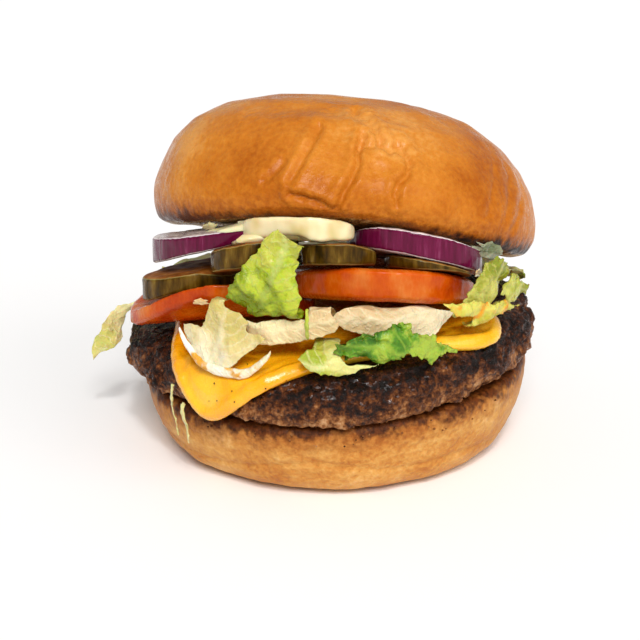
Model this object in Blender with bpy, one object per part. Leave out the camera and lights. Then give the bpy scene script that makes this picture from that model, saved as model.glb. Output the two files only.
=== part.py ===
# Hamburger: a glossy round bun, one beef patty, melted cheese, lettuce,
# tomato, pickles, red onion and white sauce, resting on the foot of its bun.
# The front of the burger faces -Y, +X is its right side and +Z is up.
import math
import bpy
from mathutils import Vector, noise
from mathutils.geometry import delaunay_2d_cdt

# Driving sizes, in metres
MM = 0.001
HEEL_HEIGHT = 24.0 * MM
HEEL_ROLL = 0.0437
PATTY_RADIUS = 61.0 * MM
PATTY_TOP = 39.5 * MM
PATTY_ROLL = 0.0699
PATTY_GAP = 0.5 * MM
CROWN_CENTRE = Vector((1.0 * MM, 3.0 * MM, 60.5 * MM))
CROWN_SLOPE_X = -0.105
CROWN_SLOPE_Y = -0.325
CROWN_HEIGHT = 40.3 * MM
CHEESE_THICKNESS = 2.6 * MM
LEAF_THICKNESS = 0.9 * MM
TOUCH_GAP = 0.35 * MM
FRONT = math.radians(270.0)

OBJECT_NAME = "hamburger"


def clear_scene():
    for item in list(bpy.data.objects):
        bpy.data.objects.remove(item, do_unlink=True)


def make_collection(name):
    group = bpy.data.collections.new(name)
    bpy.context.scene.collection.children.link(group)
    return group


def make_material(name, red, green, blue, roughness):
    material = bpy.data.materials.new(name)
    material.use_nodes = True
    shader = material.node_tree.nodes["Principled BSDF"]
    shader.inputs["Base Color"].default_value = (red, green, blue, 1.0)
    shader.inputs["Roughness"].default_value = roughness
    return material


def add_solid(group, name, points, faces, material):
    mesh = bpy.data.meshes.new(name)
    mesh.from_pydata([tuple(point) for point in points], [], faces)
    mesh.update()
    for face in mesh.polygons:
        face.use_smooth = True
    mesh.materials.append(material)
    solid = bpy.data.objects.new(name, mesh)
    group.objects.link(solid)
    return solid


def smooth_step(low, high, value):
    share = min(1.0, max(0.0, (value - low) / (high - low)))
    return share * share * (3.0 - 2.0 * share)


def angle_between(angle, centre):
    return (angle - centre + math.pi) % (2.0 * math.pi) - math.pi


def bell(angle, centre_degrees, width_degrees):
    turn = angle_between(angle, math.radians(centre_degrees))
    return math.exp(-(turn / math.radians(width_degrees)) ** 2)


def loft(rings, bottom, top):
    # Closed body through rings of equal count, from the lowest ring up.
    count = len(rings[0])
    points = [bottom]
    for ring in rings:
        points.extend(ring)
    points.append(top)
    last = len(points) - 1
    faces = []
    for step in range(count):
        following = (step + 1) % count
        faces.append((0, 1 + following, 1 + step))
        for level in range(len(rings) - 1):
            low = 1 + level * count
            high = low + count
            faces.append((low + step, low + following, high + following))
            faces.append((low + step, high + following, high + step))
        edge = 1 + (len(rings) - 1) * count
        faces.append((edge + step, edge + following, last))
    return points, faces


def heel_top(x):
    return HEEL_HEIGHT + HEEL_ROLL * x


def patty_bottom(x):
    return heel_top(x) + PATTY_GAP


def patty_top(x):
    return PATTY_TOP + PATTY_ROLL * x


def patty_reach(angle):
    swell = 1.0 + 0.025 * math.cos(4.0 * (angle - FRONT))
    return PATTY_RADIUS * swell - 3.0 * MM * bell(angle, 0.0, 45.0)


def crown_arch(angle):
    # The rim is lifted at the front and sags at both sides.
    sag = 2.4 * MM * (1.0 - bell(angle, 90.0, 75.0))
    return 5.6 * MM * bell(angle, 270.0, 42.0) - sag


def crown_under(x, y):
    # Height of the cut face of the top bun, level with its rim at the edge.
    flat = CROWN_CENTRE.z
    flat += CROWN_SLOPE_Y * (y - CROWN_CENTRE.y)
    flat += CROWN_SLOPE_X * (x - CROWN_CENTRE.x)
    reach = math.hypot(x - CROWN_CENTRE.x, y - CROWN_CENTRE.y)
    angle = math.atan2(y - CROWN_CENTRE.y, x - CROWN_CENTRE.x)
    return flat + crown_arch(angle) * smooth_step(34.0 * MM, 54.0 * MM, reach)


def build_bottom_bun(group):
    # Radius and share of the height; the foot is a flat face on the ground.
    profile = (
        (30.0, 0.0), (45.0, 0.0), (50.2, 0.085), (53.2, 0.22), (55.2, 0.40),
        (57.0, 0.62), (57.9, 0.82), (57.6, 0.94), (56.0, 0.995), (50.0, 1.0),
        (25.0, 1.0),
    )
    segments = 60
    rings = []
    for radius, share in profile:
        ring = []
        for step in range(segments):
            angle = 2.0 * math.pi * step / segments
            bulge = 0.5 * math.sin(3.0 * angle + 0.7) + 0.35 * math.sin(7.0 * angle)
            reach = (radius + bulge * min(1.0, 4.0 * share)) * MM
            x = reach * math.cos(angle)
            ring.append((x, reach * math.sin(angle), heel_top(x) * share))
        rings.append(ring)
    points, faces = loft(rings, (0.0, 0.0, 0.0), (0.0, 0.0, heel_top(0.0)))
    crumb = make_material("bun_crust_bottom", 0.62, 0.32, 0.12, 0.55)
    return add_solid(group, "bottom_bun", points, faces, crumb)


def build_patty(group):
    # Share of the radius, share of the height, share of the craggy relief.
    profile = (
        (0.50, 0.0, 0.0), (0.90, 0.0, 0.0), (0.955, 0.03, 0.3), (0.988, 0.16, 0.9),
        (1.0, 0.36, 1.0), (0.998, 0.58, 1.0), (0.980, 0.78, 0.9), (0.945, 0.92, 0.5),
        (0.88, 1.0, 0.0), (0.50, 1.0, 0.0),
    )
    segments = 72
    rings = []
    for level, (radius, share, rough) in enumerate(profile):
        ring = []
        for step in range(segments):
            angle = 2.0 * math.pi * step / segments
            spot = Vector((9.0 * math.cos(angle), 9.0 * math.sin(angle), 0.8 * level))
            crag = 1.5 * MM * rough * noise.noise(spot)
            reach = patty_reach(angle) * radius + crag
            x = reach * math.cos(angle)
            low = patty_bottom(x)
            high = patty_top(x)
            droop = 1.6 * MM * rough * math.cos(4.0 * (angle - FRONT)) * (1.0 - share)
            height = low + (high - low) * share - droop
            ring.append((x, reach * math.sin(angle), height))
        rings.append(ring)
    bottom = (0.0, 0.0, patty_bottom(0.0))
    points, faces = loft(rings, bottom, (0.0, 0.0, patty_top(0.0)))
    beef = make_material("grilled_beef", 0.05, 0.025, 0.015, 0.6)
    return add_solid(group, "patty", points, faces, beef)


def crown_point(radius, angle, height):
    # From the tilted frame of the top bun to the burger's own frame.
    normal = Vector((-CROWN_SLOPE_X, -CROWN_SLOPE_Y, 1.0)).normalized()
    across = Vector((1.0, 0.0, CROWN_SLOPE_X)).normalized()
    along = normal.cross(across)
    spot = CROWN_CENTRE + across * radius * math.cos(angle)
    spot += along * radius * math.sin(angle) + normal * height
    return spot


def build_top_bun(group):
    # Radius and height above the cut face, from the cut face over the dome.
    profile = (
        (20.0, 0.0), (36.0, 0.0), (46.0, 0.0), (52.6, 0.0), (56.0, 1.4),
        (57.8, 5.6), (57.4, 11.0), (54.9, 17.0), (50.6, 23.4), (44.6, 29.4),
        (35.4, 34.8), (24.0, 38.4), (12.0, 40.0),
    )
    segments = 64
    rings = []
    for radius, height in profile:
        ring = []
        for step in range(segments):
            angle = 2.0 * math.pi * step / segments
            lift = crown_arch(angle) * smooth_step(34.0, 53.0, radius)
            lift *= 1.0 - smooth_step(4.0, 24.0, height)
            narrow = 1.0 - 0.035 * bell(angle, 195.0, 40.0) * smooth_step(15.0, 2.0, height)
            narrow += 0.13 * bell(angle, 190.0, 70.0) * smooth_step(12.0, 36.0, height)
            wave = 0.35 * math.sin(5.0 * angle + 1.0) + 0.25 * math.sin(9.0 * angle)
            wave *= smooth_step(-0.5, 8.0, height) * smooth_step(10.0, 40.0, radius)
            reach = (radius * narrow + wave) * MM
            spot = crown_point(reach, angle, height * MM + lift)
            spot.x += 0.06 * height * MM
            ring.append(spot)
        rings.append(ring)
    bottom = crown_point(0.0, 0.0, 0.0)
    top = crown_point(0.0, 0.0, CROWN_HEIGHT)
    top.x += 0.06 * CROWN_HEIGHT
    points, faces = loft(rings, bottom, top)
    crust = make_material("bun_crust_top", 0.60, 0.24, 0.06, 0.3)
    return add_solid(group, "top_bun", points, faces, crust)


def grid_normals(grid):
    rows = len(grid)
    columns = len(grid[0])
    normals = []
    for row in range(rows):
        line = []
        for column in range(columns):
            ahead = grid[min(row + 1, rows - 1)][column]
            behind = grid[max(row - 1, 0)][column]
            right = grid[row][min(column + 1, columns - 1)]
            left = grid[row][max(column - 1, 0)]
            line.append((right - left).cross(ahead - behind).normalized())
        normals.append(line)
    return normals


def sheet(grid, thickness):
    # Thin wavy solid; both faces are split into triangles alike.
    rows = len(grid)
    columns = len(grid[0])
    normals = grid_normals(grid)
    points = []
    for side in (0.5, -0.5):
        for row in range(rows):
            for column in range(columns):
                offset = normals[row][column] * thickness * side
                points.append(grid[row][column] + offset)
    under = rows * columns
    faces = []
    for row in range(rows - 1):
        for column in range(columns - 1):
            first = row * columns + column
            second = first + 1
            third = first + columns + 1
            fourth = first + columns
            for face in ((first, second, third), (first, third, fourth)):
                faces.append(face)
                faces.append(tuple(under + corner for corner in reversed(face)))
    rim = [column for column in range(columns - 1)]
    rim += [row * columns + columns - 1 for row in range(rows - 1)]
    rim += [(rows - 1) * columns + column for column in range(columns - 1, 0, -1)]
    rim += [row * columns for row in range(rows - 1, 0, -1)]
    for step, start in enumerate(rim):
        end = rim[(step + 1) % len(rim)]
        faces.append((start, under + start, under + end))
        faces.append((start, under + end, end))
    return points, faces


def cheese_drape(x, y):
    # Middle of the slice: flat on the patty, then bent down over its edge.
    along = math.hypot(x, y)
    angle = math.atan2(y, x)
    half = 0.5 * CHEESE_THICKNESS + 1.3 * TOUCH_GAP
    flat_end = 53.5 * MM
    drop = 8.0 * MM
    outer = patty_reach(angle) + 1.5 * MM + half
    bend = outer - flat_end
    bend_length = 0.5 * math.pi * math.sqrt(0.5 * (bend * bend + drop * drop))
    if along <= flat_end:
        height = patty_top(x) + half
        return Vector((x, y, height))
    turn = min(1.0, (along - flat_end) / bend_length) * 0.5 * math.pi
    reach = flat_end + bend * math.sin(turn)
    fall = drop * (1.0 - math.cos(turn)) + max(0.0, along - flat_end - bend_length)
    height = patty_top(flat_end * math.cos(angle)) + half - fall
    return Vector((reach * math.cos(angle), reach * math.sin(angle), height))


def build_cheese(group):
    # Corners of the slice if it were laid out flat, in millimetres. Its
    # front edge is drawn back between the two lobes.
    corners = ((-45.0, -67.5), (49.5, -42.0), (29.0, 36.0), (-47.0, 24.0))
    cells = 18
    grid = []
    for row in range(cells + 1):
        line = []
        for column in range(cells + 1):
            u = 2.0 * column / cells - 1.0
            v = 2.0 * row / cells - 1.0
            largest = max(abs(u), abs(v))
            if largest > 0.0:
                round_off = largest / (abs(u) ** 7 + abs(v) ** 7) ** (1.0 / 7.0)
                u *= round_off
                v *= round_off
            weights = ((1 - u) * (1 - v), (1 + u) * (1 - v), (1 + u) * (1 + v), (1 - u) * (1 + v))
            x = sum(w * corner[0] for w, corner in zip(weights, corners)) * 0.25 * MM
            y = sum(w * corner[1] for w, corner in zip(weights, corners)) * 0.25 * MM
            y += 3.5 * MM * math.exp(-((u - 0.15) / 0.4) ** 2) * smooth_step(0.2, -1.0, v)
            line.append(cheese_drape(x, y))
        grid.append(line)
    points, faces = sheet(grid, CHEESE_THICKNESS)
    melted = make_material("melted_cheese", 0.90, 0.45, 0.03, 0.3)
    return add_solid(group, "cheese", points, faces, melted)


def slice_solid(outline, low, high, soften):
    # Disc between two height functions, with a softened rim.
    centre_x = sum(point[0] for point in outline) / len(outline)
    centre_y = sum(point[1] for point in outline) / len(outline)
    steps = ((0.35, 0.0), (0.70, 0.0), (0.94, 0.0), (1.0, 1.0))
    rings = []
    for share, inset in steps:
        rings.append(slice_ring(outline, centre_x, centre_y, share, low, soften * inset))
    for share, inset in reversed(steps):
        rings.append(slice_ring(outline, centre_x, centre_y, share, high, -soften * inset))
    bottom = (centre_x, centre_y, low(centre_x, centre_y))
    top = (centre_x, centre_y, high(centre_x, centre_y))
    return loft(rings, bottom, top)


def slice_ring(outline, centre_x, centre_y, share, height, lift):
    ring = []
    for x, y in outline:
        ring_x = centre_x + (x - centre_x) * share
        ring_y = centre_y + (y - centre_y) * share
        ring.append((ring_x, ring_y, height(ring_x, ring_y) + lift))
    return ring


def oval(centre_x, centre_y, radius_x, radius_y, count, lobes=0, depth=0.0):
    outline = []
    for step in range(count):
        angle = 2.0 * math.pi * step / count
        swell = 1.0 + depth * math.cos(lobes * angle + 0.6)
        x = (centre_x + radius_x * swell * math.cos(angle)) * MM
        y = (centre_y + radius_y * swell * math.sin(angle)) * MM
        outline.append((x, y))
    return outline


def plane(x, y, height, slope_x, slope_y):
    # Tilted plane that passes through one named spot, in millimetres.
    def surface(at_x, at_y):
        return height * MM + slope_x * (at_x - x * MM) + slope_y * (at_y - y * MM)
    return surface


def right_tomato_low(x, y):
    rise = 0.00253 * (20.0 - y / MM) ** 2
    return (45.0 + rise - 0.04 * (x / MM - 13.0)) * MM


def right_tomato_high(x, y):
    thick = 7.0 + 2.3 * smooth_step(-20.0, -50.0, y / MM)
    thick -= 0.015 * max(0.0, x / MM - 30.0) ** 2
    return right_tomato_low(x, y) + thick * MM


def left_tomato_middle(x, y):
    across = x / MM + 33.0
    along = min(0.0, y / MM + 14.0)
    rise = 0.06 * across - 0.001 * across * across + 0.0185 * along * along
    return (44.1 + rise) * MM


def left_tomato_low(x, y):
    return left_tomato_middle(x, y) - 2.6 * MM


def left_tomato_high(x, y):
    return left_tomato_middle(x, y) + 2.6 * MM


def build_tomatoes(group):
    flesh = make_material("tomato_flesh", 0.72, 0.13, 0.02, 0.25)
    outline = oval(13.0, -22.0, 26.8, 30.5, 40)
    points, faces = slice_solid(outline, right_tomato_low, right_tomato_high, 1.0 * MM)
    add_solid(group, "tomato_right", points, faces, flesh)
    outline = oval(-33.0, -14.0, 27.0, 27.0, 36)
    points, faces = slice_solid(outline, left_tomato_low, left_tomato_high, 0.8 * MM)
    add_solid(group, "tomato_left", points, faces, flesh)


def pressed_down(surface, limit):
    # A soft slice gives way where the piece above it comes lower.
    def pressed(x, y):
        return min(surface(x, y), limit(x, y) - TOUCH_GAP)
    return pressed


def held_up(surface, support):
    # A soft slice also rests on the piece below it.
    def held(x, y):
        return max(surface(x, y), support(x, y) + TOUCH_GAP)
    return held


# Middle x, middle y and radius in millimetres.
MIDDLE_LEFT_PICKLE = (-22.3, -40.6, 12.0)
LEFT_ONION_TOP = pressed_down(plane(-53.0, -15.0, 65.2, 0.19, -0.20), crown_under)
LEFT_ONION_LOW = plane(-53.0, -15.0, 57.2, 0.23, -0.30)
RIGHT_ONION_TOP = pressed_down(plane(22.0, -47.0, 76.6, -0.26, -0.39), crown_under)
RIGHT_ONION_LOW = pressed_down(plane(22.0, -47.0, 69.0, -0.22, -0.38), plane(22.0, -47.0, 70.5, -0.28, -0.36))
MIDDLE_LEFT_PICKLE_TOP = pressed_down(plane(-23.5, -53.5, 75.3, 0.10, -0.36), LEFT_ONION_LOW)
MIDDLE_LEFT_PICKLE_LOW = plane(-23.5, -53.5, 68.3, 0.10, -0.36)
MIDDLE_PICKLE_TOP = pressed_down(plane(0.0, -52.5, 74.7, 0.0, -0.34), RIGHT_ONION_LOW)
MIDDLE_PICKLE_LOW = held_up(plane(0.0, -52.5, 68.7, 0.0, -0.34), right_tomato_high)
LEFT_PICKLE_LOW = held_up(plane(-57.0, -20.0, 47.5, 0.20, -0.25), left_tomato_high)
RIGHT_PICKLE_TOP = pressed_down(plane(22.0, -47.0, 69.4, -0.20, -0.38), RIGHT_ONION_LOW)
RIGHT_PICKLE_LOW = held_up(plane(22.0, -47.0, 65.2, -0.20, -0.38), right_tomato_high)
LEFT_PICKLE_FREE_TOP = plane(-57.0, -20.0, 55.0, 0.20, -0.17)


def left_pickle_top(x, y):
    # Pressed down only where the next pickle lies on it.
    free = LEFT_PICKLE_FREE_TOP(x, y)
    pressed = min(free, MIDDLE_LEFT_PICKLE_LOW(x, y) - TOUCH_GAP)
    away = math.hypot(x - MIDDLE_LEFT_PICKLE[0] * MM, y - MIDDLE_LEFT_PICKLE[1] * MM)
    reach = MIDDLE_LEFT_PICKLE[2] * MM
    return pressed + (free - pressed) * smooth_step(reach + 0.6 * MM, reach + 5.0 * MM, away)


def build_pickles(group):
    # Name, middle x and y, radius, under side and upper side of each slice.
    pickles = (
        ("pickle_left", -40.5, -22.0, 15.0, LEFT_PICKLE_LOW, left_pickle_top),
        ("pickle_middle_left", *MIDDLE_LEFT_PICKLE, MIDDLE_LEFT_PICKLE_LOW, MIDDLE_LEFT_PICKLE_TOP),
        ("pickle_middle", 0.7, -41.0, 10.3, MIDDLE_PICKLE_LOW, MIDDLE_PICKLE_TOP),
        ("pickle_right", 25.5, -37.0, 12.3, RIGHT_PICKLE_LOW, RIGHT_PICKLE_TOP),
    )
    brine = make_material("pickle_flesh", 0.22, 0.14, 0.02, 0.25)
    for name, x, y, radius, low, high in pickles:
        outline = oval(x, y, radius, radius * 0.98, 26)
        points, faces = slice_solid(outline, low, high, 0.5 * MM)
        add_solid(group, name, points, faces, brine)


def left_onion_outline():
    # Half slice: a wide outer arc and a shallower inner side.
    outer = 29.5
    inner = 12.0
    count = 22
    outline = []
    start = math.radians(168.0)
    end = math.radians(272.0)
    for step in range(count):
        angle = start + (end - start) * step / (count - 1)
        outline.append(((-23.5 + outer * math.cos(angle)) * MM, (-12.5 + outer * math.sin(angle)) * MM))
    for step in range(1, count // 2):
        angle = end + (start - end) * step / (count // 2)
        reach = outer - (outer - inner) * math.sin(math.pi * step / (count // 2)) ** 0.5
        outline.append(((-23.5 + reach * math.cos(angle)) * MM, (-12.5 + reach * math.sin(angle)) * MM))
    return outline


def build_onions(group):
    layers = make_material("red_onion", 0.20, 0.02, 0.12, 0.25)
    points, faces = slice_solid(left_onion_outline(), LEFT_ONION_LOW, LEFT_ONION_TOP, 0.3 * MM)
    add_solid(group, "onion_left", points, faces, layers)
    outline = oval(21.8, -30.0, 19.0, 19.5, 36)
    points, faces = slice_solid(outline, RIGHT_ONION_LOW, RIGHT_ONION_TOP, 0.3 * MM)
    add_solid(group, "onion_right", points, faces, layers)


def sauce_low(x, y):
    over_pickle = MIDDLE_LEFT_PICKLE_TOP(x, y) - 2.0 * max(0.0, x + 9.5 * MM)
    return max(over_pickle, MIDDLE_PICKLE_TOP(x, y)) + 1.8 * TOUCH_GAP


def sauce_high(x, y):
    return crown_under(x, y) - 1.4 * TOUCH_GAP


def build_sauce(group):
    outline = []
    count = 30
    for step in range(count):
        angle = 2.0 * math.pi * step / count
        reach_x = 13.2 + 0.8 * math.sin(3.0 * angle)
        reach_y = 6.2 + 0.7 * math.sin(4.0 * angle + 1.0)
        x = -8.5 + reach_x * math.cos(angle)
        y = -46.0 + reach_y * math.sin(angle) + 0.010 * (x + 4.0) ** 2
        outline.append((x * MM, y * MM))
    points, faces = slice_solid(outline, sauce_low, sauce_high, 0.6 * MM)
    cream = make_material("white_sauce", 0.80, 0.74, 0.55, 0.3)
    return add_solid(group, "sauce", points, faces, cream)


def leaf_path(leaf, rows):
    # Reach from the middle and height at each row: straight between the
    # layers, then curved along the tail.
    inner, exit_reach = leaf["reach"]
    inner_height, exit_height = leaf["height"]
    turn_start, turn_end = leaf["turn"]
    inside = math.hypot(exit_reach - inner, exit_height - inner_height)
    slope_inside = math.atan2(exit_height - inner_height, exit_reach - inner)
    total = inside + leaf["tail"]
    fine_steps = 20 * (rows - 1)
    step = total / fine_steps
    reach = inner
    height = inner_height
    path = [(reach, height, 0.0)]
    for count in range(1, fine_steps + 1):
        position = (count - 0.5) * step
        heading = slope_inside
        tail_share = max(0.0, (position - inside) / leaf["tail"])
        if tail_share > 0.0:
            bend = smooth_step(-0.25, 0.75, tail_share)
            heading = math.radians(turn_start + (turn_end - turn_start) * bend)
        reach += step * math.cos(heading)
        height += step * math.sin(heading)
        if count % 20 == 0:
            path.append((reach, height, tail_share))
    return path


def leaf_grid(leaf):
    rows = leaf.get("rows", 9)
    columns = leaf.get("columns", 8)
    azimuth = math.radians(leaf["azimuth"])
    outward = Vector((math.cos(azimuth), math.sin(azimuth), 0.0))
    across = Vector((-math.sin(azimuth), math.cos(azimuth), 0.0))
    direction = 1.0 if leaf["turn"][1] > 0.0 else -1.0
    grid = []
    for reach, height, tail_share in leaf_path(leaf, rows):
        free = smooth_step(0.0, 0.6, tail_share)
        half_width = 0.5 * leaf["width"] * (1.0 - leaf.get("point", 0.3) * tail_share ** 2)
        line = []
        for column in range(columns):
            side = 2.0 * column / (columns - 1) - 1.0
            wave = leaf.get("waves", 2.5) * math.pi * side + leaf.get("phase", 0.0)
            ripple = leaf.get("ruffle", 0.6) * math.sin(wave) * free
            ends = leaf.get("round", 2.0) * side * side
            ends += leaf.get("ragged", 0.5) * math.sin(2.3 * wave + 1.0)
            sideways = side * half_width
            spot = outward * (reach + ripple) + across * sideways
            spot.z = height + 0.3 * ripple - direction * ends * tail_share
            line.append(spot * MM)
        grid.append(line)
    return grid


# Reach is the distance from the middle of the burger where a leaf starts and
# where it leaves the layers, height is its height at both, turn is its
# heading in degrees at the start and at the end of its free tail; the sizes
# are in millimetres.
STRIPS = (
    dict(name="shred_outer", azimuth=222.5, width=1.9, reach=(61.8, 62.2), height=(30.5, 28.5),
         turn=(-88.0, -102.0), tail=15.0, point=0.5, ruffle=0.3, round=0.2, ragged=0.0, columns=3),
    dict(name="shred_inner", azimuth=227.0, width=1.9, reach=(61.8, 62.2), height=(27.0, 25.5),
         turn=(-88.0, -103.0), tail=13.0, point=0.5, ruffle=0.3, round=0.2, ragged=0.0, columns=3),
    dict(name="shred_green", azimuth=262.3, width=1.7, reach=(57.0, 58.6), height=(58.4, 58.0),
         turn=(-50.0, -98.0), tail=9.0, point=0.4, ruffle=0.3, round=0.2, ragged=0.0, columns=3),
    dict(name="lettuce_back_left", azimuth=138.0, width=32.0, reach=(41.0, 57.0), height=(43.0, 42.6),
         turn=(0.0, -65.0), tail=12.0, point=0.3, ruffle=1.1, waves=3.5, columns=11),
    dict(name="lettuce_back", azimuth=96.0, width=28.0, reach=(43.0, 60.0), height=(41.4, 41.2),
         turn=(-10.0, -75.0), tail=9.0, point=0.3, ruffle=0.9, phase=1.0, waves=3.5, columns=10),
    dict(name="lettuce_back_right", azimuth=26.0, width=22.0, reach=(44.0, 58.5), height=(45.0, 44.6),
         turn=(0.0, -80.0), tail=7.0, point=0.3, ruffle=0.7, phase=2.0, waves=3.5, columns=9),
)

# A torn leaf at the front follows a cylinder of its radius round the burger.
# Its outline gives the way round from the middle of the front and the height.
# Past its exit height, which runs along the leaf, it turns inward between the
# layers: over the top where root is 1, under the bottom where root is -1.
TORN_LEAVES = (
    dict(name="lettuce_upright", radius=58.5, root=-1, exit=((-35.0, 57.0), (0.0, 57.0)), fall=0.1, ripple=0.9,
         outline=((-31.5, 58.5), (-27.5, 57.2), (-25.0, 56.0), (-24.0, 49.5), (-11.0, 49.5), (-10.5, 57.0),
                  (-9.8, 60.5), (-10.6, 65.0), (-11.5, 69.0), (-9.5, 75.0), (-12.0, 77.8), (-16.2, 79.8),
                  (-19.0, 77.0), (-21.5, 73.5), (-24.8, 69.5), (-28.3, 64.8))),
    dict(name="lettuce_fold", radius=60.2, root=1, exit=((-50.0, 56.5), (-15.0, 56.5)), fall=0.0, ripple=0.5,
         belly=2.2, outline=((-47.5, 49.2), (-45.5, 45.5), (-41.0, 41.3), (-37.0, 39.3), (-32.0, 38.9),
                             (-28.0, 40.6), (-23.0, 45.0), (-19.0, 49.5), (-21.5, 50.5), (-25.0, 50.0),
                             (-24.6, 54.0), (-28.0, 55.6), (-31.5, 56.0), (-32.0, 61.0), (-36.0, 61.0),
                             (-36.3, 55.6), (-38.0, 52.8), (-40.5, 49.5), (-44.0, 50.0))),
    dict(name="lettuce_cream_left", radius=56.0, root=1, exit=((-30.0, 56.5), (5.0, 56.5)), fall=0.65,
         ripple=0.5, outline=((-25.5, 53.4), (-24.5, 45.0), (-19.0, 45.2), (-14.0, 46.0), (-10.0, 47.8),
                              (-7.2, 48.9), (-3.2, 49.6), (-0.6, 49.8), (0.8, 52.3), (-0.8, 56.0), (-1.5, 65.0), (-7.5, 65.0),
                              (-8.6, 55.5), (-12.0, 54.2), (-19.0, 53.6))),
    dict(name="lettuce_cream_right", radius=55.0, root=1, fall=0.36, ripple=0.5,
         exit=((-5.0, 55.0), (8.0, 55.5), (20.0, 54.0), (36.0, 52.0)),
         outline=((-1.6, 54.3), (-0.3, 51.8), (3.0, 49.6), (9.0, 48.3), (16.0, 49.4), (20.3, 47.8), (25.0, 46.9),
                  (28.6, 47.4), (32.0, 49.6), (35.5, 53.0), (30.0, 54.5), (24.0, 64.0), (6.0, 66.0),
                  (1.0, 56.5))),
    dict(name="lettuce_frill", radius=62.2, root=-1, ripple=1.0, fall=0.03,
         exit=((-5.0, 45.6), (20.0, 45.6), (21.5, 39.0), (40.0, 39.0)),
         outline=((-0.3, 50.0), (-0.5, 47.0), (3.0, 46.0), (3.5, 30.0), (17.0, 30.0), (18.0, 46.2), (22.0, 44.6),
                  (24.8, 42.6), (27.0, 41.4), (28.5, 43.6), (31.0, 43.8), (34.2, 42.8), (36.0, 44.2),
                  (30.0, 47.4), (26.0, 49.8), (21.5, 51.5), (20.0, 55.0), (17.8, 56.6), (15.6, 54.8),
                  (11.5, 52.8), (7.0, 52.6), (3.2, 51.8))),
    dict(name="lettuce_lime", radius=60.9, root=1, exit=((-10.0, 45.6), (2.0, 45.6), (3.2, 60.0), (20.0, 60.0)),
         fall=0.02, ripple=0.4, belly=1.2,
         outline=((-10.2, 44.4), (-8.4, 42.3), (-4.8, 40.9), (-0.2, 40.3), (4.0, 41.0), (8.0, 42.6), (11.5, 43.6), (3.0, 43.6),
                  (1.5, 46.0), (1.0, 58.0), (-6.0, 58.0), (-8.4, 47.2))),
    dict(name="lettuce_right_upright", radius=59.3, root=-1, exit=((30.0, 53.4), (60.0, 53.4)), fall=0.28,
         ripple=0.7, outline=((36.0, 56.3), (38.5, 54.5), (40.0, 45.0), (48.5, 45.0), (49.5, 55.0),
                              (52.0, 57.5), (56.0, 60.0), (56.5, 62.5), (53.5, 65.4), (48.6, 67.8), (44.3, 66.4),
                              (42.0, 64.3), (40.3, 61.0), (38.8, 58.4))),
    dict(name="lettuce_right_low", radius=61.0, root=-1, exit=((40.0, 53.0), (70.0, 53.0)), fall=0.2,
         ripple=0.8, outline=((50.5, 56.0), (53.5, 54.0), (54.5, 46.5), (61.0, 46.5), (62.0, 53.2), (65.5, 52.0),
                              (66.2, 55.0), (60.5, 58.0), (60.6, 60.2), (57.0, 61.0), (53.5, 58.5))),
    dict(name="lettuce_right_strip", radius=61.6, root=-1, exit=((25.0, 50.9), (70.0, 50.9)), fall=0.2,
         ripple=0.5, outline=((29.5, 57.5), (34.0, 54.0), (39.0, 52.6), (40.5, 50.5), (41.5, 44.0), (49.0, 44.0),
                              (50.0, 50.9), (56.0, 49.4), (63.0, 49.0), (56.0, 51.6), (52.0, 54.4),
                              (44.0, 56.2), (38.5, 57.0), (32.0, 58.3))),
)

# The leaf that hangs out at the left faces the front; its outline gives the
# place from left to right and the height.
SIDE_LEAF = dict(name="lettuce_left", outline=(
    (-50.5, 36.6), (-57.5, 36.4), (-62.0, 36.3), (-64.8, 34.0), (-65.2, 30.0), (-65.4, 26.0), (-68.3, 23.2),
    (-71.9, 21.0), (-74.1, 19.3), (-75.0, 23.2), (-74.0, 28.1), (-71.8, 32.9), (-67.3, 36.9), (-61.2, 38.9),
    (-55.1, 39.6), (-50.5, 39.2)))

# Spacing of the points in a torn leaf and radius of its turn inward.
LEAF_MESH = 2.9
LEAF_TURN = 1.2


def along_line(line, place):
    # Height of a broken line at the given place.
    for (start, low), (end, high) in zip(line, line[1:]):
        if place <= end:
            share = min(1.0, max(0.0, (place - start) / (end - start)))
            return low + (high - low) * share
    return line[-1][1]


def torn_leaf_spot(leaf, around, height):
    side = leaf["root"]
    edge = along_line(leaf["exit"], around)
    over = max(0.0, side * (height - edge))
    bend = min(over, 0.5 * math.pi * LEAF_TURN)
    straight = over - bend
    inward = LEAF_TURN * (1.0 - math.cos(bend / LEAF_TURN)) + straight
    rise = side * LEAF_TURN * math.sin(bend / LEAF_TURN) - leaf["fall"] * straight
    free = min(side * (edge - height), 12.0) / 12.0
    ripple = leaf["ripple"] * math.sin(0.55 * around + 0.25 * height) * max(0.0, free) ** 0.5
    radius = leaf["radius"] + ripple
    radius += leaf.get("belly", 0.0) * smooth_step(50.0, 42.0, height)
    angle = FRONT + around / leaf["radius"]
    middle = FRONT + leaf["middle"] / leaf["radius"]
    x = radius * math.cos(angle) - inward * math.cos(middle)
    y = radius * math.sin(angle) - inward * math.sin(middle)
    z = height if over == 0.0 else edge + rise
    return Vector((x, y, z)) * MM


def side_leaf_spot(leaf, across, height):
    # Its root lies on the patty; the blade beside it comes forward.
    free = smooth_step(-58.0, -75.0, across)
    wave = 1.6 * math.sin(0.5 * across + 0.3 * height) * smooth_step(-58.0, -66.0, across)
    return Vector((across, 9.0 - 5.0 * free + wave, height)) * MM


def even_outline(outline, spacing):
    # The outline again with points about one spacing apart.
    points = []
    for start, end in zip(outline, outline[1:] + outline[:1]):
        length = math.hypot(end[0] - start[0], end[1] - start[1])
        steps = max(1, round(length / spacing))
        for step in range(steps):
            share = step / steps
            points.append(Vector((start[0] + (end[0] - start[0]) * share,
                                  start[1] + (end[1] - start[1]) * share)))
    return points


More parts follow.
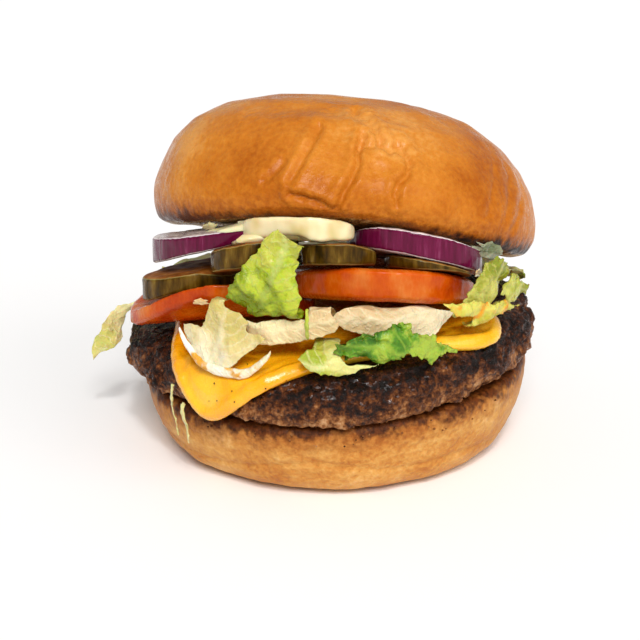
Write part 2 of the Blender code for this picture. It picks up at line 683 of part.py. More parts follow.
def inner_points(edge, spacing):
    # Staggered points inside the outline, clear of its edge.
    lowest_x = min(point.x for point in edge)
    highest_x = max(point.x for point in edge)
    lowest_y = min(point.y for point in edge)
    highest_y = max(point.y for point in edge)
    rows = int((highest_y - lowest_y) / (spacing * 0.87)) + 1
    columns = int((highest_x - lowest_x) / spacing) + 2
    points = []
    for row in range(rows):
        for column in range(columns):
            x = lowest_x + (column + 0.5 * (row % 2)) * spacing
            spot = Vector((x, lowest_y + row * spacing * 0.87))
            clear = min((spot - point).length for point in edge) > 0.55 * spacing
            if clear and is_inside(spot, edge):
                points.append(spot)
    return points


def is_inside(spot, edge):
    crossings = 0
    for start, end in zip(edge, edge[1:] + edge[:1]):
        if (start.y > spot.y) != (end.y > spot.y):
            cross_x = start.x + (spot.y - start.y) / (end.y - start.y) * (end.x - start.x)
            crossings += cross_x > spot.x
    return crossings % 2 == 1


def torn_sheet(leaf, place):
    # Thin solid inside the torn outline; place puts its points on the burger.
    edge = even_outline(leaf["outline"], LEAF_MESH)
    flat = edge + inner_points(edge, LEAF_MESH)
    result = delaunay_2d_cdt(flat, [], [list(range(len(edge)))], 1, 0.0001)
    flat, triangles = result[0], result[2]
    spots = [place(leaf, point.x, point.y) for point in flat]
    normals = [Vector((0.0, 0.0, 0.0)) for spot in spots]
    borders = {}
    for a, b, c in triangles:
        normal = (spots[b] - spots[a]).cross(spots[c] - spots[a])
        for corner in (a, b, c):
            normals[corner] += normal
        for pair in ((a, b), (b, c), (c, a)):
            borders[pair] = pair
    points = []
    for side in (0.5, -0.5):
        for spot, normal in zip(spots, normals):
            points.append(spot + normal.normalized() * LEAF_THICKNESS * side)
    under = len(spots)
    faces = []
    for a, b, c in triangles:
        faces.append((a, b, c))
        faces.append((under + c, under + b, under + a))
    for start, end in borders:
        if (end, start) not in borders:
            faces.append((start, under + start, under + end))
            faces.append((start, under + end, end))
    return points, faces


def build_lettuce(group):
    leaf_green = make_material("lettuce_leaf", 0.40, 0.52, 0.06, 0.35)
    for leaf in TORN_LEAVES:
        around = [point[0] for point in leaf["outline"]]
        leaf["middle"] = 0.5 * (min(around) + max(around))
        points, faces = torn_sheet(leaf, torn_leaf_spot)
        add_solid(group, leaf["name"], points, faces, leaf_green)
    points, faces = torn_sheet(SIDE_LEAF, side_leaf_spot)
    add_solid(group, SIDE_LEAF["name"], points, faces, leaf_green)
    for leaf in STRIPS:
        points, faces = sheet(leaf_grid(leaf), LEAF_THICKNESS)
        add_solid(group, leaf["name"], points, faces, leaf_green)


def main():
    clear_scene()
    group = make_collection(OBJECT_NAME)
    build_bottom_bun(group)
    build_patty(group)
    build_cheese(group)
    build_tomatoes(group)
    build_pickles(group)
    build_onions(group)
    build_sauce(group)
    build_top_bun(group)
    build_lettuce(group)


main()
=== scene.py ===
# Looks of the hamburger: procedural materials, finer pieces over the solids,
# camera, light and floor. The front of the burger faces -Y.
import math
import random

import bmesh
import bpy
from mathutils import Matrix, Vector, noise
from mathutils.bvhtree import BVHTree
from mathutils.kdtree import KDTree

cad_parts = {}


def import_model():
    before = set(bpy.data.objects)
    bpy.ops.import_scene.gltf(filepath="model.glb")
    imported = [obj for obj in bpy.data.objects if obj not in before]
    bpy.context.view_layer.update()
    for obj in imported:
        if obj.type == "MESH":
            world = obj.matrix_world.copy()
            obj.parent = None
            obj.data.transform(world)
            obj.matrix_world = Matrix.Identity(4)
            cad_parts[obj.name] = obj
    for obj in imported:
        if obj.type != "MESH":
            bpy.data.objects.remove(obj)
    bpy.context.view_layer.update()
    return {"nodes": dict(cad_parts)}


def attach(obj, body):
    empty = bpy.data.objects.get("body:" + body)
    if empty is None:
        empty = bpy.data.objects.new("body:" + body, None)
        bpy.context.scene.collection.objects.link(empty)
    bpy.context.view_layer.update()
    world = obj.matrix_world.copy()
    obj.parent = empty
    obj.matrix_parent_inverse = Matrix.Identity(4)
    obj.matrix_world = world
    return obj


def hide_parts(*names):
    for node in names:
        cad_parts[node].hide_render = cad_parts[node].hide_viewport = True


MM = 0.001

# Camera: the photograph looks slightly down on the front of the burger
CAMERA_TARGET = Vector((-0.0045, 0.0, 0.0345))
CAMERA_DISTANCE = 0.50
CAMERA_ELEVATION = math.radians(19.5)
CAMERA_LENS_MM = 92.8
SENSOR_MM = 36.0
PICTURE_SIZE = 640

# Cut face of the top bun: its middle and the direction that it faces away from
CROWN_CENTRE = Vector((1.0, 3.0, 60.5)) * MM
CROWN_NORMAL = Vector((0.105, 0.325, 1.0)).normalized()

# Cut face of the bottom bun and middle of the patty, which both slope a little
HEEL_TOP = Vector((0.0, 0.0, 24.0)) * MM
HEEL_NORMAL = Vector((-0.0437, 0.0, 1.0))
BEEF_MIDDLE = Vector((0.0, 0.0, 32.0)) * MM
BEEF_NORMAL = Vector((-0.06, 0.0, 1.0))

# Places apart in the noise that give the three parts of a random push
NOISE_SHIFTS = (Vector((11.3, 4.7, 7.9)), Vector((-5.1, 13.7, 2.3)), Vector((3.9, -8.3, 17.1)))

# Edge of a cell when a solid is remade as fine mesh
CROWN_CELL = 0.65 * MM
HEEL_CELL = 0.95 * MM
BEEF_CELL = 0.80 * MM
SLICE_CELL = 0.55 * MM
LEAF_CELL = 0.45 * MM

# How a CAD solid is read: points closer than WELD_GAP are one, an edge is
# sharp over SHARP_ANGLE, and its points are EDGE_STEP apart
WELD_GAP = 0.01 * MM
SHARP_ANGLE = math.radians(50.0)
EDGE_STEP = 0.6 * MM

# Random waves of each surface: how many to a millimetre, and their height in
# millimetres
CROWN_WAVES = ((0.07, 0.45), (0.2, 0.16))
HEEL_WAVES = ((0.35, 0.22),)
CHEESE_WAVES = ((0.12, 0.25),)
SLICE_WAVES = ((0.22, 0.22), (0.9, 0.06))
SAUCE_WAVES = ((0.3, 0.2),)

# Wrinkle of the top bun, in millimetres: depth and half width of its groove,
# and height, distance and half width of the swelling along both sides
GROOVE_DEPTH = 1.8
GROOVE_WIDTH = 0.85
SWELLING_HEIGHT = 0.8
SWELLING_AWAY = 2.0
SWELLING_WIDTH = 1.3
WRINKLE_REACH = 5.0

# Side veins of a leaf: millimetres apart, and how far they slant back
VEIN_GAP = 3.4
VEIN_SLANT = 0.8

# Settings that every node of a kind has, and its output in use when that
# isn't the first
USUAL_SETTINGS = {"Mix": {"data_type": "RGBA"}, "MapRange": {"interpolation_type": "SMOOTHSTEP"}}
USED_OUTPUT = {"Mix": 2}


def linear(hex_colour):
    channels = []
    for start in (0, 2, 4):
        value = int(hex_colour[start:start + 2], 16) / 255.0
        if value <= 0.04045:
            channels.append(value / 12.92)
        else:
            channels.append(((value + 0.055) / 1.055) ** 2.4)
    return (*channels, 1.0)


def smooth_step(low, high, value):
    share = min(1.0, max(0.0, (value - low) / (high - low)))
    return share * share * (3.0 - 2.0 * share)


def camera_back():
    # Direction from what the camera looks at to the camera.
    return Vector((0.0, -math.cos(CAMERA_ELEVATION), math.sin(CAMERA_ELEVATION)))


def hump(away, middle, width):
    # 1 at the middle, fading smoothly to nothing about two widths from it.
    return math.exp(-((away - middle) / width) ** 2)


def waves(spot, rows):
    return sum(height * noise.noise(spot * rate) for rate, height in rows)


def push_at(spot):
    # Random push that changes smoothly from place to place, alike in each run.
    return Vector([noise.noise(spot + shift) for shift in NOISE_SHIFTS])


def add_node(tree, kind, settings, output=None):
    # A setting is an input by name or number, a property, or the stops of a
    # colour ramp. The output of another node, given as a setting, is linked.
    node = tree.nodes.new("ShaderNode" + kind)
    for name, value in {**USUAL_SETTINGS.get(kind, {}), **settings}.items():
        if name == "stops":
            stops = node.color_ramp.elements
            while len(stops) < len(value):
                stops.new(0.5)
            for stop, (place, colour) in zip(stops, value):
                stop.position = place
                stop.color = linear(colour)
        elif isinstance(value, bpy.types.NodeSocket):
            tree.links.new(value, node.inputs[name])
        elif isinstance(name, int) or name in node.inputs:
            node.inputs[name].default_value = value
        else:
            setattr(node, name, value)
    return node.outputs[USED_OUTPUT.get(kind, 0) if output is None else output]


def start_material(name, finish):
    # finish holds the values that are the same all over the surface.
    material = bpy.data.materials.new(name)
    material.use_nodes = True
    tree = material.node_tree
    for socket, value in finish.items():
        tree.nodes["Principled BSDF"].inputs[socket].default_value = value
    place = add_node(tree, "TexCoord", {}, "Object")
    return material, tree, place


def finish_material(tree, depth_mm, relief, looks):
    # Joins patterns to the shader: looks by the name of its input, and relief
    # as bumps that are depth_mm deep.
    shader = tree.nodes["Principled BSDF"]
    bumps = add_node(tree, "Bump", {"Height": relief, "Distance": depth_mm * MM, "Strength": 1.0})
    for socket, pattern in {**looks, "Normal": bumps}.items():
        tree.links.new(pattern, shader.inputs[socket])


def grain(tree, place, size_mm, detail=3.0, roughness=0.55, stretch=(1.0, 1.0, 1.0)):
    # Speckle whose spots are about size_mm across, longer where stretch is
    # less than 1.
    stretched = add_node(tree, "Mapping", {"Vector": place, "Scale": stretch})
    return add_node(tree, "TexNoise", {"Vector": stretched, "Scale": 1.0 / (size_mm * MM), "Detail": detail,
                                       "Roughness": roughness})


def add_up(tree, *parts):
    # Sum of patterns, each given with its share.
    total = 0.0
    for pattern, share in parts:
        total = add_node(tree, "Math", {"operation": "MULTIPLY_ADD", 0: pattern, 1: share, 2: total})
    return total


def levelness(tree):
    # 1 where the surface lies level, 0 where it stands upright.
    normal = add_node(tree, "NewGeometry", {}, "Normal")
    up = add_node(tree, "SeparateXYZ", {"Vector": normal}, "Z")
    return add_node(tree, "Math", {"operation": "ABSOLUTE", 0: up})


def height_over(tree, place, centre, direction):
    # Distance in millimetres over a plane through centre.
    offset = add_node(tree, "VectorMath", {"operation": "SUBTRACT", 0: place, 1: centre})
    along = add_node(tree, "VectorMath", {"operation": "DOT_PRODUCT", 0: offset, 1: direction}, "Value")
    return add_up(tree, (along, 1.0 / MM))


def egg_washed_crust():
    # Enriched bread brushed with egg and baked: golden brown, glossy in
    # patches, with a dark line along the lower rim, darkest to the right, and
    # a pale toasted crumb.
    material, tree, place = start_material("egg_washed_crust", {
        "IOR": 1.45, "Subsurface Weight": 0.05, "Subsurface Scale": 2.0 * MM, "Coat Roughness": 0.20,
        "Coat IOR": 1.35, "Specular IOR Level": 0.12})
    broad = grain(tree, place, 30.0, 2.0)
    fine = grain(tree, place, 1.6, 4.0)
    tone = add_up(tree, (broad, 0.75), (fine, 0.25))
    gold = add_node(tree, "ValToRGB", {"Fac": tone, "stops": [
        (0.36, "a4540c"), (0.46, "ba6a19"), (0.56, "c87a25"), (0.66, "d89344")]})
    lift = height_over(tree, place, CROWN_CENTRE, CROWN_NORMAL)
    browned = add_node(tree, "ValToRGB", {"Fac": fine, "stops": [(0.35, "9a4e10"), (0.65, "c07020")]})
    paler = add_node(tree, "MapRange", {"Value": lift, "From Min": 1.0, "From Max": 8.5})
    gold = add_node(tree, "Mix", {0: paler, 6: browned, 7: gold})
    streaks = grain(tree, place, 2.6, 4.0, stretch=(1.0, 1.0, 0.25))
    wander = add_node(tree, "MapRange", {"Value": streaks, "From Min": 0.3, "From Max": 0.7,
                                         "To Min": -1.3, "To Max": 1.3})
    rim = add_node(tree, "MapRange", {"Value": add_up(tree, (lift, 1.0), (wander, 1.0)),
                                      "From Min": 0.0, "From Max": 4.5})
    brown_rim = add_node(tree, "ValToRGB", {"Fac": rim, "stops": [
        (0.0, "5c2c0c"), (0.35, "844612"), (0.70, "a05a18"), (1.0, "ae651c")]})
    burnt_rim = add_node(tree, "ValToRGB", {"Fac": rim, "stops": [
        (0.0, "1e0a02"), (0.35, "421a04"), (0.70, "7c3c0a"), (1.0, "a05612")]})
    sideways = height_over(tree, place, CROWN_CENTRE, Vector((1.0, 0.0, 0.0)))
    to_right = add_node(tree, "MapRange", {"Value": sideways, "From Min": -35.0, "From Max": 30.0})
    baked = add_node(tree, "Mix", {0: to_right, 6: brown_rim, 7: burnt_rim})
    crust = add_node(tree, "Mix", {0: rim, 6: baked, 7: gold})
    normal = add_node(tree, "NewGeometry", {}, "Normal")
    up = add_node(tree, "SeparateXYZ", {"Vector": normal}, "Z")
    cut_face = add_node(tree, "MapRange", {"Value": up, "From Min": -0.93, "From Max": -0.80,
                                           "To Min": 1.0, "To Max": 0.0})
    crumb = add_node(tree, "ValToRGB", {"Fac": fine, "stops": [
        (0.35, "5b3013"), (0.50, "a8763a"), (0.65, "d8b478")]})
    wrinkles = grain(tree, place, 3.4, 3.0, stretch=(1.0, 1.0, 0.35))
    pores = grain(tree, place, 0.6, 2.0)
    finish_material(tree, 0.28, add_up(tree, (fine, 1.0), (pores, 0.5), (wrinkles, 1.0)), {
        "Base Color": add_node(tree, "Mix", {0: cut_face, 6: crust, 7: crumb}),
        "Roughness": add_node(tree, "MapRange", {"Value": grain(tree, place, 3.0, 3.0), "From Min": 0.38,
                                                 "From Max": 0.60, "To Min": 0.22, "To Max": 0.42}),
        "Coat Weight": add_node(tree, "MapRange", {"Value": lift, "From Min": 4.0, "From Max": 22.0,
                                                   "To Max": 0.2}),
    })
    return material


def soft_heel_crust():
    # Unglazed side of the bottom bun: tan and nearly matte, mottled by the oven,
    # and browner towards the cut edge, which is toasted; that darkening is also
    # painted shade that the patty casts, darkest just under it.
    material, tree, place = start_material("soft_heel_crust", {
        "IOR": 1.45, "Subsurface Weight": 0.06, "Subsurface Scale": 2.0 * MM, "Specular IOR Level": 0.2})
    broad = grain(tree, place, 14.0, 4.0, stretch=(1.0, 1.0, 1.8))
    fine = grain(tree, place, 1.4, 4.0)
    tan = add_node(tree, "ValToRGB", {"Fac": add_up(tree, (broad, 0.6), (fine, 0.4)), "stops": [
        (0.36, "b06828"), (0.48, "c6863c"), (0.58, "d49c52"), (0.68, "e2b272")]})
    lift = height_over(tree, place, HEEL_TOP, HEEL_NORMAL)
    wander = add_node(tree, "MapRange", {"Value": grain(tree, place, 4.0, 5.0), "From Min": 0.3,
                                         "From Max": 0.7, "To Min": -1.8, "To Max": 1.8})
    uneven_lift = add_up(tree, (lift, 1.0), (wander, 1.0))
    # Browner band below the cut edge: partly toasting, partly painted shade from the patty above.
    browner = add_node(tree, "MapRange", {"Value": uneven_lift, "From Min": -10.0, "From Max": -3.0,
                                          "To Max": 0.65})
    browned = add_node(tree, "ValToRGB", {"Fac": fine, "stops": [(0.35, "74390c"), (0.65, "a65e22")]})
    # Darkest band just under the patty: partly toasted crust, partly painted shade cast by the patty.
    edge = add_node(tree, "MapRange", {"Value": uneven_lift, "From Min": -4.5, "From Max": -1.2})
    toasted = add_node(tree, "ValToRGB", {"Fac": fine, "stops": [(0.35, "3a1a06"), (0.65, "6c3610")]})
    side = add_node(tree, "Mix", {0: browner, 6: tan, 7: browned})
    finish_material(tree, 0.5, add_up(tree, (fine, 1.0), (broad, 1.2)), {
        "Base Color": add_node(tree, "Mix", {0: edge, 6: side, 7: toasted}),
        "Roughness": add_node(tree, "MapRange", {"Value": fine, "From Min": 0.3, "From Max": 0.7,
                                                 "To Min": 0.40, "To Max": 0.60}),
    })
    return material


def char_grilled_beef():
    # Ground beef browned on a hot grill: dark crusted crumbles above, brown
    # and greyish pink ones lower down, wet with melted fat.
    material, tree, place = start_material("char_grilled_beef", {
        "IOR": 1.45, "Coat Weight": 0.12, "Coat Roughness": 0.08, "Specular IOR Level": 0.2})
    broad = grain(tree, place, 7.0, 3.0)
    clump = grain(tree, place, 1.6, 5.0, 0.66)
    crumbles = add_node(tree, "TexVoronoi", {"Vector": place, "Scale": 1.0 / (2.4 * MM), "feature": "F1"})
    lift = height_over(tree, place, BEEF_MIDDLE, BEEF_NORMAL)
    char = add_node(tree, "MapRange", {"Value": lift, "From Min": -7.0, "From Max": 5.0,
                                       "To Min": 0.07, "To Max": -0.06})
    tone = add_up(tree, (broad, 0.45), (clump, 0.55), (char, 1.0))
    finish_material(tree, 1.3, add_up(tree, (clump, 1.0), (crumbles, -0.6)), {
        "Base Color": add_node(tree, "ValToRGB", {"Fac": tone, "stops": [
            (0.39, "0e0501"), (0.47, "371604"), (0.55, "6e3c18"), (0.62, "a26a3a"), (0.70, "c29468")]}),
        "Roughness": add_node(tree, "MapRange", {"Value": grain(tree, place, 1.1, 2.0), "From Min": 0.42,
                                                 "From Max": 0.56, "To Min": 0.12, "To Max": 0.85}),
    })
    return material


def melted_cheese():
    # Processed cheese slice after the grill: opaque yellow orange, smooth and
    # softly glossy, with light passing a little way into its edges.
    material, tree, place = start_material("melted_cheese", {
        "IOR": 1.45, "Subsurface Weight": 0.20, "Subsurface Scale": 3.0 * MM,
        "Subsurface Radius": (1.0, 0.45, 0.08), "Coat Weight": 0.25, "Coat Roughness": 0.12})
    broad = grain(tree, place, 16.0, 2.0)
    fine = grain(tree, place, 1.1, 3.0)
    finish_material(tree, 0.16, add_up(tree, (fine, 1.0), (broad, 1.0)), {
        "Base Color": add_node(tree, "ValToRGB", {"Fac": broad, "stops": [
            (0.35, "f0a008"), (0.52, "f5ae12"), (0.68, "fabf30")]}),
        "Roughness": add_node(tree, "MapRange", {"Value": fine, "From Min": 0.35, "From Max": 0.65,
                                                 "To Min": 0.16, "To Max": 0.32}),
    })
    return material


def ripe_tomato():
    # Wet cut tomato: orange red, faintly translucent and finely streaked from
    # face to face.
    material, tree, place = start_material("ripe_tomato", {
        "IOR": 1.38, "Subsurface Weight": 0.25, "Subsurface Scale": 4.0 * MM,
        "Subsurface Radius": (1.0, 0.22, 0.05), "Coat Weight": 0.10, "Coat Roughness": 0.08,
        "Specular IOR Level": 0.2})
    broad = grain(tree, place, 11.0, 3.0)
    streak = grain(tree, place, 0.8, 3.0, stretch=(1.0, 1.0, 0.4))
    tone = add_up(tree, (broad, 0.88), (streak, 0.12))
    finish_material(tree, 0.3, tone, {
        "Base Color": add_node(tree, "ValToRGB", {"Fac": tone, "stops": [
            (0.38, "a83602"), (0.48, "bc4802"), (0.56, "c65606"), (0.68, "ce7028")]}),
        "Roughness": add_node(tree, "MapRange", {"Value": streak, "From Min": 0.35, "From Max": 0.65,
                                                 "To Min": 0.14, "To Max": 0.36}),
    })
    return material


def red_onion():
    # Raw red onion: wet purple skin with fine paler streaks round the edge,
    # white rims, and greyish white cut faces.
    material, tree, place = start_material("red_onion", {
        "IOR": 1.36, "Subsurface Weight": 0.05, "Subsurface Scale": 2.0 * MM, "Coat Weight": 0.06,
        "Coat Roughness": 0.05, "Specular IOR Level": 0.25})
    streak = grain(tree, place, 1.3, 4.0, stretch=(1.0, 1.0, 0.12))
    skin = add_node(tree, "ValToRGB", {"Fac": streak, "stops": [
        (0.30, "500828"), (0.50, "5e0c32"), (0.64, "6a143c"), (0.78, "84405e")]})
    level = levelness(tree)
    at_rim = add_node(tree, "MapRange", {"Value": level, "From Min": 0.60, "From Max": 0.72})
    rim = add_node(tree, "ValToRGB", {"Fac": streak, "stops": [(0.0, "ddcdd2"), (1.0, "f0e8e6")]})
    on_face = add_node(tree, "MapRange", {"Value": level, "From Min": 0.78, "From Max": 0.90})
    flesh = add_node(tree, "ValToRGB", {"Fac": grain(tree, place, 4.0), "stops": [
        (0.35, "9a8082"), (0.65, "d6c8bc")]})
    edge = add_node(tree, "Mix", {0: at_rim, 6: skin, 7: rim})
    finish_material(tree, 0.15, streak, {
        "Base Color": add_node(tree, "Mix", {0: on_face, 6: edge, 7: flesh}),
        "Roughness": add_node(tree, "MapRange", {"Value": streak, "From Min": 0.35, "From Max": 0.65,
                                                 "To Min": 0.12, "To Max": 0.28}),
    })
    return material


def pickled_cucumber():
    # Sliced pickle: dark olive rind, striped across its edge and shining with
    # brine, and a duller amber face.
    material, tree, place = start_material("pickled_cucumber", {
        "IOR": 1.25, "Subsurface Weight": 0.15, "Subsurface Scale": 3.0 * MM, "Coat Weight": 0.02,
        "Coat Roughness": 0.08, "Specular IOR Level": 0.3})
    stripe = grain(tree, place, 2.2, 4.0, stretch=(1.0, 1.0, 0.2))
    rind = add_node(tree, "ValToRGB", {"Fac": stripe, "stops": [
        (0.33, "2a1c03"), (0.50, "52390a"), (0.64, "6e5218"), (0.78, "9a7e38")]})
    level = levelness(tree)
    at_rim = add_node(tree, "MapRange", {"Value": level, "From Min": 0.54, "From Max": 0.66, "To Max": 0.6})
    rim = add_node(tree, "ValToRGB", {"Fac": stripe, "stops": [(0.0, "8f7a3a"), (1.0, "b3a065")]})
    on_face = add_node(tree, "MapRange", {"Value": level, "From Min": 0.74, "From Max": 0.88})
    flesh = add_node(tree, "ValToRGB", {"Fac": grain(tree, place, 3.5), "stops": [
        (0.35, "6c3808"), (0.55, "8a501a"), (0.70, "a87038")]})
    edge = add_node(tree, "Mix", {0: at_rim, 6: rind, 7: rim})
    finish_material(tree, 0.2, grain(tree, place, 1.5, 3.0), {
        "Base Color": add_node(tree, "Mix", {0: on_face, 6: edge, 7: flesh}),
        "Roughness": add_node(tree, "MapRange", {"Value": level, "From Min": 0.54, "From Max": 0.80,
                                                 "To Min": 0.22, "To Max": 0.60}),
    })
    return material


def white_sauce():
    # Mayonnaise dressing: thick, creamy and glossy.
    material, tree, place = start_material("white_sauce", {
        "IOR": 1.46, "Subsurface Weight": 0.3, "Subsurface Scale": 4.0 * MM, "Coat Weight": 0.3,
        "Coat Roughness": 0.1})
    broad = grain(tree, place, 9.0, 2.0)
    finish_material(tree, 0.3, broad, {
        "Base Color": add_node(tree, "ValToRGB", {"Fac": broad, "stops": [
            (0.35, "d2bc7c"), (0.60, "ecdcae")]}),
        "Roughness": add_node(tree, "MapRange", {"Value": broad, "From Min": 0.3, "From Max": 0.7,
                                                 "To Min": 0.14, "To Max": 0.28}),
    })
    return material


def crisp_leaf(name, colours, rib_start, rib_end, patchiness, stain=None):
    # Fresh lettuce: waxy, thin enough to let light through. colours are those
    # of the thick pale rib, the blade, the ruffled tip and the veins near it.
    # Side veins leave the rib at a slant. patchiness is how much the colours
    # wander, and stain is sauce or fat soaked in.
    material, tree, place = start_material(name, {
        "IOR": 1.38, "Subsurface Weight": 0.22, "Subsurface Scale": 1.5 * MM, "Coat Weight": 0.12,
        "Coat Roughness": 0.12, "Specular IOR Level": 0.4})
    rib, blade, tip, vein_tip = colours
    start = Vector(rib_start) * MM
    reach = Vector(rib_end) * MM - start
    along = reach.normalized()
    outward = Vector((start.x, start.y, 0.0)).normalized()
    across = along.cross(outward).normalized()
    wobble = add_node(tree, "MapRange", {"Value": grain(tree, place, 5.0, 3.0), "From Min": 0.3,
                                         "From Max": 0.7, "To Min": -1.6, "To Max": 1.6})
    run = add_up(tree, (height_over(tree, place, start, along), 1.0), (wobble, 1.0))
    aside = add_up(tree, (height_over(tree, place, start, across), 1.0), (wobble, 0.5))
    aside = add_node(tree, "Math", {"operation": "ABSOLUTE", 0: aside})
    slanted = add_up(tree, (run, 1.0), (aside, -VEIN_SLANT))
    to_vein = add_node(tree, "Math", {"operation": "PINGPONG", 0: slanted, 1: 0.5 * VEIN_GAP})
    side_veins = add_node(tree, "MapRange", {"Value": to_vein, "From Min": 0.0, "From Max": 0.65,
                                             "To Min": 0.7, "To Max": 0.0})
    main_rib = add_node(tree, "MapRange", {"Value": aside, "From Min": 0.1, "From Max": 1.5,
                                           "To Min": 1.0, "To Max": 0.0})
    veins = add_node(tree, "Math", {"operation": "MAXIMUM", 0: side_veins, 1: main_rib})
    share = add_node(tree, "MapRange", {"Value": run, "From Min": 0.0, "From Max": reach.length / MM})
    patches = add_node(tree, "MapRange", {"Value": grain(tree, place, 5.0, 5.0), "From Min": 0.3,
                                          "From Max": 0.7, "To Min": -patchiness, "To Max": patchiness})
    body = add_node(tree, "ValToRGB", {"Fac": add_up(tree, (share, 1.0), (patches, 1.0)), "stops": [
        (0.05, rib), (0.50, blade), (0.95, tip)]})
    pale = add_node(tree, "ValToRGB", {"Fac": share, "stops": [(0.0, rib), (1.0, vein_tip)]})
    leaf = add_node(tree, "Mix", {0: add_up(tree, (veins, 0.75)), 6: body, 7: pale})
    if stain:
        soaked = add_node(tree, "MapRange", {"Value": grain(tree, place, 4.5, 3.0),
                                             "From Min": 0.50, "From Max": 0.66})
        leaf = add_node(tree, "Mix", {0: soaked, 6: leaf, 7: linear(stain)})
    puckers = grain(tree, place, 2.6, 4.0)
    finish_material(tree, 0.5, add_up(tree, (puckers, 2.0), (veins, 0.25)), {
        "Base Color": leaf,
        "Roughness": add_node(tree, "MapRange", {"Value": patches, "From Min": -patchiness,
                                                 "From Max": patchiness, "To Min": 0.22, "To Max": 0.44}),
    })
    return material


def remade(frame, node, cell, rounds):
    # Fine even mesh in the shape of a CAD node, with its facets smoothed out
    # in the given number of rounds.
    source = frame["nodes"][node]
    rough = bpy.data.objects.new("rough_" + node, source.data.copy())
    bpy.context.scene.collection.objects.link(rough)
    weld = rough.modifiers.new("weld", "WELD")
    weld.merge_threshold = WELD_GAP
    remesh = rough.modifiers.new("remesh", "REMESH")
    remesh.mode = "VOXEL"
    remesh.voxel_size = cell
    soften = rough.modifiers.new("soften", "SMOOTH")
    soften.factor = 0.5
    soften.iterations = rounds
    graph = bpy.context.evaluated_depsgraph_get()
    mesh = bpy.data.meshes.new_from_object(rough.evaluated_get(graph))
    bpy.data.objects.remove(rough)
    mesh.name = "fine_" + node
    mesh.materials.clear()
    mesh.polygons.foreach_set("use_smooth", [True] * len(mesh.polygons))
    return mesh


def raise_relief(mesh, height):
    # Moves each point along its normal by height(point, normal), in metres.
    normals = [Vector(vertex.normal) for vertex in mesh.vertices]
    for vertex, normal in zip(mesh.vertices, normals):
        vertex.co += normal * height(vertex.co, normal)
    mesh.update()


def edges_of(frame, node):
    # Search tree over points along the sharp edges of a CAD node.
    shape = bmesh.new()
    shape.from_mesh(frame["nodes"][node].data)
    bmesh.ops.remove_doubles(shape, verts=shape.verts, dist=WELD_GAP)
    spots = []
    for edge in shape.edges:
        if len(edge.link_faces) == 2 and edge.calc_face_angle(0.0) > SHARP_ANGLE:
            first, last = edge.verts[0].co, edge.verts[1].co
            steps = max(1, round((last - first).length / EDGE_STEP))
            spots += [first.lerp(last, step / steps) for step in range(steps + 1)]
    shape.free()
    tree = KDTree(len(spots))
    for index, spot in enumerate(spots):
        tree.insert(spot, index)
    tree.balance()
    return tree


def add_piece(name, mesh, material, node=None):
    # A small piece that no CAD node stands for is given without node.
    piece = bpy.data.objects.new(name, mesh)
    bpy.context.scene.collection.objects.link(piece)
    mesh.materials.append(material)
    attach(piece, "root")
    if node:
        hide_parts(node)


# Wrinkles of the top bun, where the crust sank as it cooled. Each is a line of
# places picked in the photograph, across and down, and its depth.
WRINKLES_SEEN = (
    (((320, 127), (310, 145), (303, 158), (296, 170), (290, 182)), 0.55),
    (((290, 194), (302, 197), (316, 202), (333, 208)), 0.85),
    (((361, 140), (358, 152), (357, 167), (350, 182), (342, 195), (338, 206), (336, 216)), 0.80),
    (((381, 143), (390, 150), (396, 146), (405, 153), (410, 162), (407, 176), (398, 184), (396, 194),
      (397, 204)), 0.65),
    (((245, 113), (270, 109), (300, 107), (330, 108), (358, 112)), 0.25),
    (((354, 114), (366, 121), (376, 131), (381, 143), (372, 147), (362, 145)), 0.55),
    (((265, 180), (275, 172), (283, 163)), 0.30),
    (((500, 150), (508, 170), (510, 195), (505, 220)), 0.22),
    (((521, 185), (520, 210), (512, 232)), 0.22),
    (((488, 140), (494, 160), (494, 185), (488, 215)), 0.16),
    (((163, 185), (166, 195), (164, 208)), 0.20),
    (((250, 215), (290, 216), (340, 222)), 0.35),
)


def surface_of(frame, node):
    # The CAD node as a surface that rays can meet.
    solid = frame["nodes"][node].data
    return BVHTree.FromPolygons([vertex.co for vertex in solid.vertices],
                                [face.vertices for face in solid.polygons])


def seen_at(surface, across, down):
    # Where the surface shows at a place in the photograph, in millimetres.
    back = camera_back()
    right = Vector((1.0, 0.0, 0.0))
    up = right.cross(-back)
    focal = CAMERA_LENS_MM / SENSOR_MM * PICTURE_SIZE
    middle = 0.5 * PICTURE_SIZE
    direction = right * (across - middle) - up * (down - middle) - back * focal
    hit = surface.ray_cast(CAMERA_TARGET + back * CAMERA_DISTANCE, direction.normalized())[0]
    return None if hit is None else hit / MM


def crown_wrinkles(frame):
    # Each wrinkle as a line of x and z places on the top bun, and its depth.
    surface = surface_of(frame, "top_bun")
    wrinkles = []
    for places, depth in WRINKLES_SEEN:
        spots = [seen_at(surface, across, down) for across, down in places]
        wrinkles.append(([(spot.x, spot.z) for spot in spots if spot is not None], depth))
    return wrinkles


def distance_to_line(x, z, line):
    nearest = 1000.0
    for (start_x, start_z), (end_x, end_z) in zip(line, line[1:]):
        run_x, run_z = end_x - start_x, end_z - start_z
        share = ((x - start_x) * run_x + (z - start_z) * run_z) / (run_x * run_x + run_z * run_z)
        share = min(1.0, max(0.0, share))
        nearest = min(nearest, math.hypot(x - start_x - share * run_x, z - start_z - share * run_z))
    return nearest


